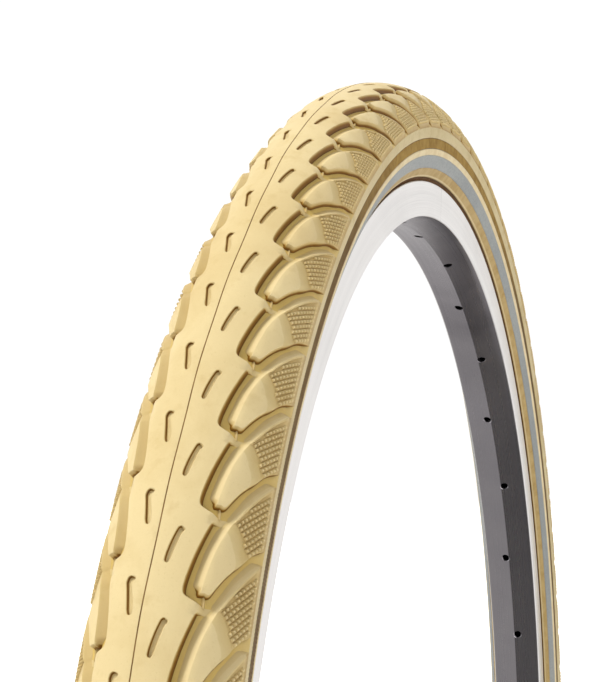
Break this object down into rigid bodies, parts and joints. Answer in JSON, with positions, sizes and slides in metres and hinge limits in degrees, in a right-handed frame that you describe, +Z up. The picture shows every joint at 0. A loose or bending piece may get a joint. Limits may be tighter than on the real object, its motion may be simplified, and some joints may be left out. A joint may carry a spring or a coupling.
{
  "type": "bicycle tire",
  "caption": "Treaded bicycle tire with reflective sidewall bands, mounted with its inner tube and valve on a drilled double-wall aluminium rim.",
  "frame": {"origin": "centre of the wheel, on the axle line midway between the rim flanges", "axes": "+Y along the axle, +Z up with the wheel standing on its tread, +X forward; the valve is at the bottom of the wheel and points up at the hub"},
  "size_m": [0.7164, 0.0474, 0.7164],
  "materials": {
    "tread_rubber": "matte cream natural rubber with fine mould texture",
    "sidewall_rubber": "satin tan rubber",
    "reflective_band": "retroreflective grey film with fine bead texture",
    "cord": "rubberised nylon cord",
    "chafer_cloth": "woven cloth",
    "steel": "drawn steel",
    "butyl": "smooth matte butyl rubber",
    "rim_aluminium": "brushed along the rim, machined brake track",
    "tape_cloth": "woven rim tape",
    "brass": "machined",
    "nickel": "nickel plated",
    "seal_rubber": "smooth",
    "cap_plastic": "moulded black plastic"
  },
  "bodies": {
    "wheel": {"tread": "tread_rubber", "breaker_belt": "cord", "casing": "cord", "sidewall_right": "sidewall_rubber", "sidewall_left": "sidewall_rubber", "reflective_stripe_right": "reflective_band", "reflective_stripe_left": "reflective_band", "chafer_right": "chafer_cloth", "chafer_left": "chafer_cloth", "bead_wire_right": "steel", "bead_wire_left": "steel", "inner_tube": "butyl", "rim_tape": "tape_cloth", "rim": "rim_aluminium", "rim_joint_sleeve": "rim_aluminium", "valve_pad": "butyl", "valve_stem": "brass", "valve_core_body": "brass", "valve_core_gasket": "seal_rubber", "valve_core_spring": "steel"},
    "core_pin": {"valve_core_pin": "brass", "valve_core_seal": "seal_rubber"},
    "cap_seal": {"valve_cap_seal": "seal_rubber"},
    "cap": {"valve_cap": "cap_plastic"},
    "washer": {"rim_washer": "nickel"},
    "nut": {"rim_nut": "nickel"}
  },
  "joints": [
    {"name": "valve_press", "type": "slide", "parent": "wheel", "child": "core_pin", "axis": [0, 0, -1], "range_m": [0, 0.0013], "stiffness_N_per_m": 30, "springref_m": -0.002, "deforming": ["valve_core_spring"]},
    {"name": "cap_lift", "type": "slide", "parent": "wheel", "child": "cap_seal", "axis": [0, 0, 1], "range_m": [0, 0.0079]},
    {"name": "cap_turn", "type": "hinge", "parent": "cap_seal", "child": "cap", "pos_m": [0, 0, -0.277], "axis": [0, 0, 1], "range_deg": [0, 3600]},
    {"name": "nut_lift", "type": "slide", "parent": "wheel", "child": "washer", "axis": [0, 0, 1], "range_m": [0, 0.0079]},
    {"name": "nut_turn", "type": "hinge", "parent": "washer", "child": "nut", "pos_m": [0, 0, -0.2965], "axis": [0, 0, 1], "range_deg": [0, 3600]}
  ],
  "couplings": [
    {"joint": "cap_turn", "follows": "cap_lift", "rad_per_m": 7915.8},
    {"joint": "nut_turn", "follows": "nut_lift", "rad_per_m": 7915.8}
  ]
}
